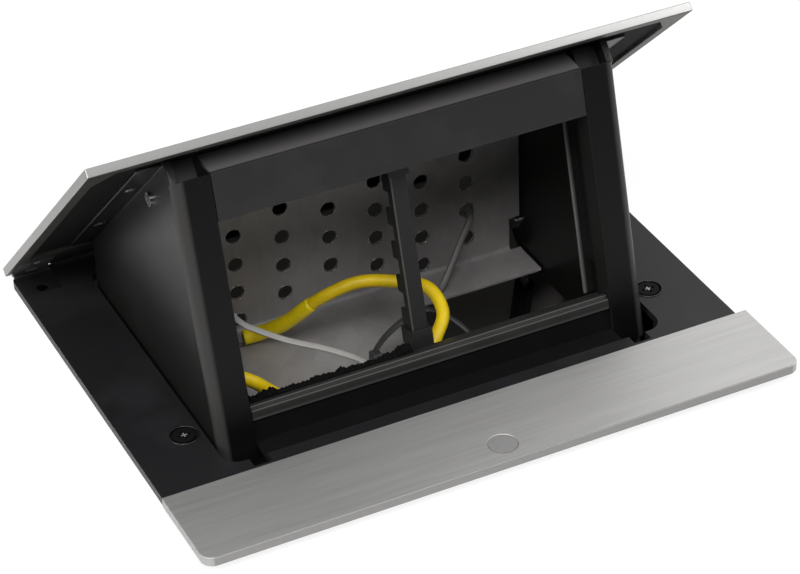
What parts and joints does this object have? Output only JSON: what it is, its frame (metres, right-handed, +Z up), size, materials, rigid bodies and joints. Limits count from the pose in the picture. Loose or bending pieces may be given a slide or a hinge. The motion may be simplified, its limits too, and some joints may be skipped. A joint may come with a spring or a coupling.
{
  "type": "pop up desk socket",
  "caption": "Tilt-up desk socket box: brushed aluminium lid hinged on a black frame plate, raising an open device module on gas springs, with a latch, button and desk clamps.",
  "frame": {"origin": "middle of the frame plate on the desk surface, which is the plate's underside", "axes": "+X to the right along the hinge line, +Y back towards the hinge, +Z up"},
  "size_m": [0.262, 0.2161, 0.2354],
  "materials": {
    "brushed_aluminium": "brushed, clear anodised",
    "button_aluminium": "satin",
    "black_paint": "semi-gloss black",
    "black_plastic": "fine satin",
    "liner_black": "matt",
    "dark_anodised": "satin dark grey",
    "galvanised": "dull zinc",
    "bright_steel": "bright zinc",
    "tube_black": "gloss black",
    "earth_yellow": "satin",
    "tie_white": "translucent satin",
    "foam_black": "open cell"
  },
  "bodies": {
    "frame": {"frame_plate": "black_paint", "front_strip": "brushed_aluminium", "strip_screws": "bright_steel", "spring_bracket_left": "galvanised", "spring_bracket_right": "galvanised", "bracket_screws": "bright_steel", "bracket_studs": "bright_steel", "clamp_screws": "black_paint", "frame_leaves": "black_paint", "frame_leaf_screws": "black_paint", "hinge_pins": "bright_steel", "latch_guides": "galvanised", "latch_springs": "bright_steel"},
    "tilt_module": {"lid_plate": "brushed_aluminium", "lid_liner": "liner_black", "lid_leaves": "galvanised", "lid_leaf_screws": "bright_steel", "cheek_left": "black_plastic", "cheek_right": "black_plastic", "cheek_screws": "bright_steel", "cheek_side_screws": "bright_steel", "keeper_left": "black_plastic", "keeper_right": "black_plastic", "blank_plate": "dark_anodised", "header_rail": "black_plastic", "mullion": "dark_anodised", "mullion_top_clip": "black_plastic", "mullion_foot_clip": "black_plastic", "sill": "black_plastic", "front_skirt": "black_plastic", "sill_foam": "foam_black", "side_rail_left": "black_plastic", "side_rail_right": "black_plastic", "cable_tray": "galvanised", "tray_screws": "bright_steel", "lift_studs": "bright_steel", "earth_lugs": "bright_steel", "earth_screws": "bright_steel", "earth_lead": "earth_yellow", "cable_tie_left": "tie_white", "cable_tie_right": "tie_white", "cable_tie_loop": "tie_white"},
    "spring_tubes": {"gas_spring_tubes": "tube_black"},
    "spring_rods": {"gas_spring_rods": "bright_steel"},
    "button": {"release_button": "button_aluminium"},
    "latch": {"latch_bar": "bright_steel"},
    "left_claw": {"clamp_claw_left": "galvanised"},
    "right_claw": {"clamp_claw_right": "galvanised"}
  },
  "joints": [
    {"name": "lid_hinge", "type": "hinge", "parent": "frame", "child": "tilt_module", "pos_m": [0, 0.1071, 0.0043], "axis": [1, 0, 0], "range_deg": [0, 43.3], "stiffness_Nm_per_rad": 0.9, "springref_deg": -100.27},
    {"name": "spring_swing", "type": "hinge", "parent": "frame", "child": "spring_tubes", "pos_m": [0, 0.0845, -0.1045], "axis": [1, 0, 0], "range_deg": [-15, 0]},
    {"name": "spring_stroke", "type": "slide", "parent": "spring_tubes", "child": "spring_rods", "axis": [0, -0.2207, 0.9753], "range_m": [-0.0275, 0]},
    {"name": "button_rise", "type": "slide", "parent": "frame", "child": "button", "axis": [0, 0, 1], "range_m": [0, 0.0015]},
    {"name": "latch_slide", "type": "slide", "parent": "frame", "child": "latch", "axis": [0, 1, 0], "range_m": [0, 0.004]},
    {"name": "left_clamp_travel", "type": "slide", "parent": "frame", "child": "left_claw", "axis": [0, 0, 1], "range_m": [-0.025, 0.018]},
    {"name": "right_clamp_travel", "type": "slide", "parent": "frame", "child": "right_claw", "axis": [0, 0, 1], "range_m": [-0.025, 0.018]}
  ],
  "couplings": [
    {"joint": "spring_swing", "follows": "lid_hinge", "ratio": -0.34615},
    {"joint": "spring_stroke", "follows": "lid_hinge", "m_per_rad": -0.036306},
    {"joint": "latch_slide", "follows": "button_rise", "ratio": 2.6666}
  ]
}
